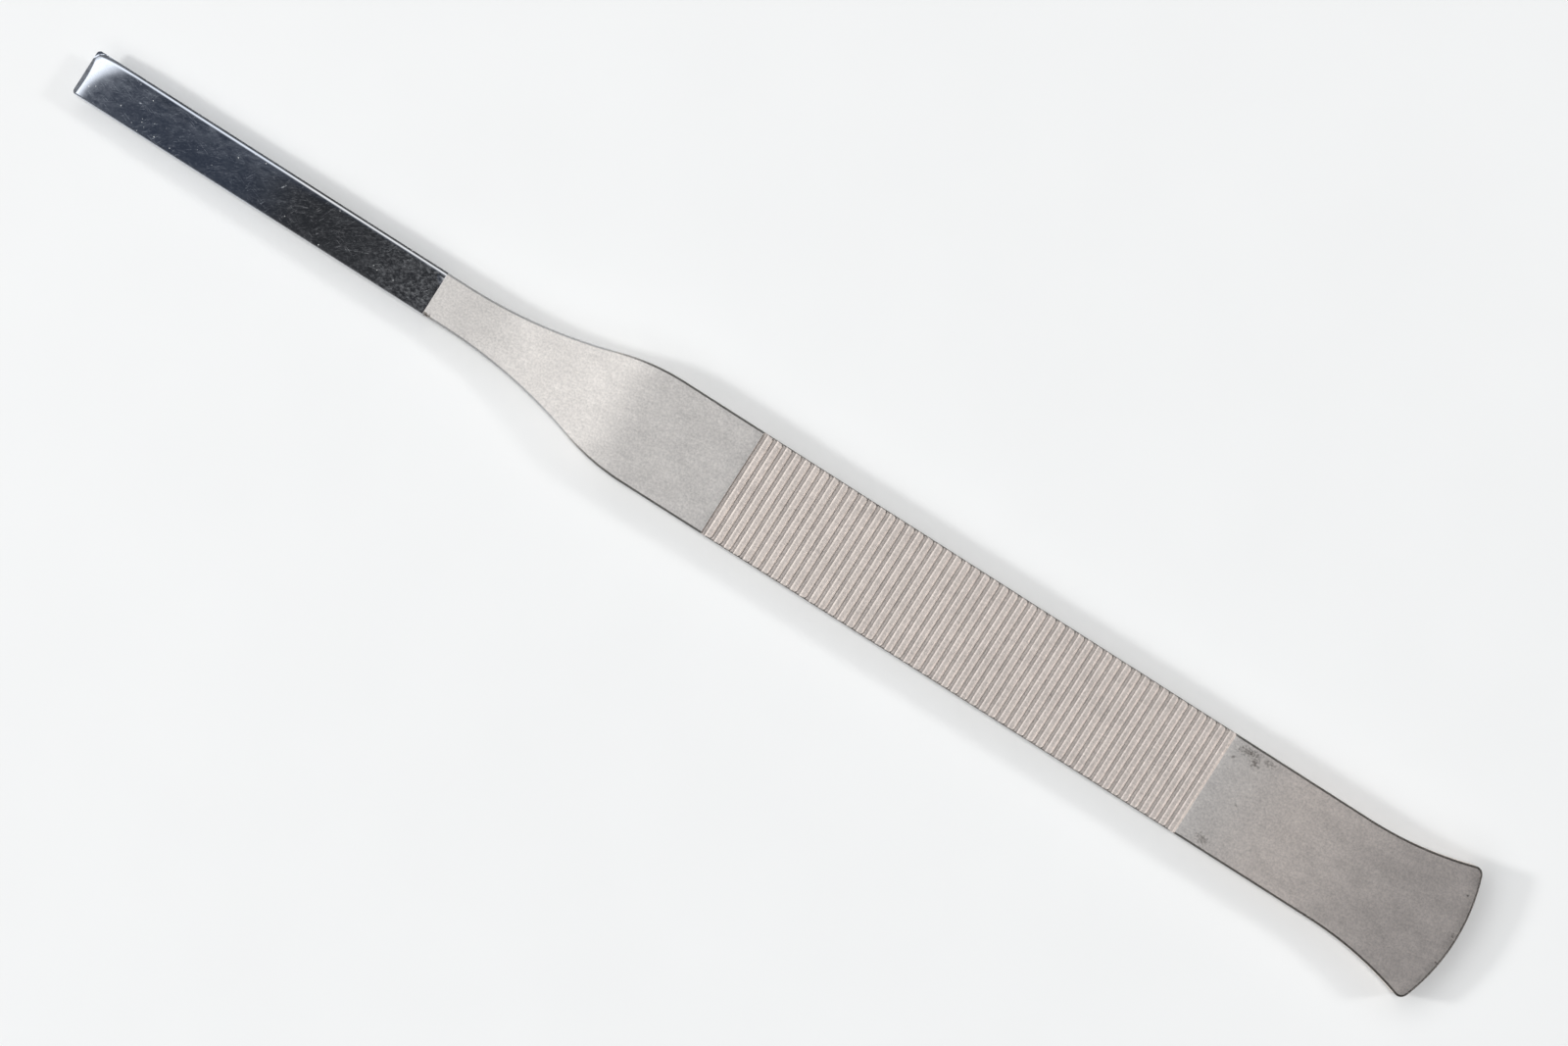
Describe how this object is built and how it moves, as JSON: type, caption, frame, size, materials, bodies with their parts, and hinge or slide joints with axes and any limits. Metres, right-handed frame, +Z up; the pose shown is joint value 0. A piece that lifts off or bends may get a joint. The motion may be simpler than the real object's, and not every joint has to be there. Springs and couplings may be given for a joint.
{
  "type": "osteotome",
  "caption": "Slim solid steel osteotome: straight polished blade with a square cutting edge, flat grooved handle and a fan-shaped striking head.",
  "frame": {"origin": "middle of the bounding box in plan, on the surface that the instrument lies on", "axes": "+X from the cutting edge to the striking head, +Y across the flat, +Z up through the thickness"},
  "size_m": [0.17, 0.016, 0.004],
  "materials": {
    "stainless_steel": "fine satin, with the front of the blade polished to a mirror"
  },
  "bodies": {
    "root": {"osteotome": "stainless_steel"}
  },
  "joints": []
}
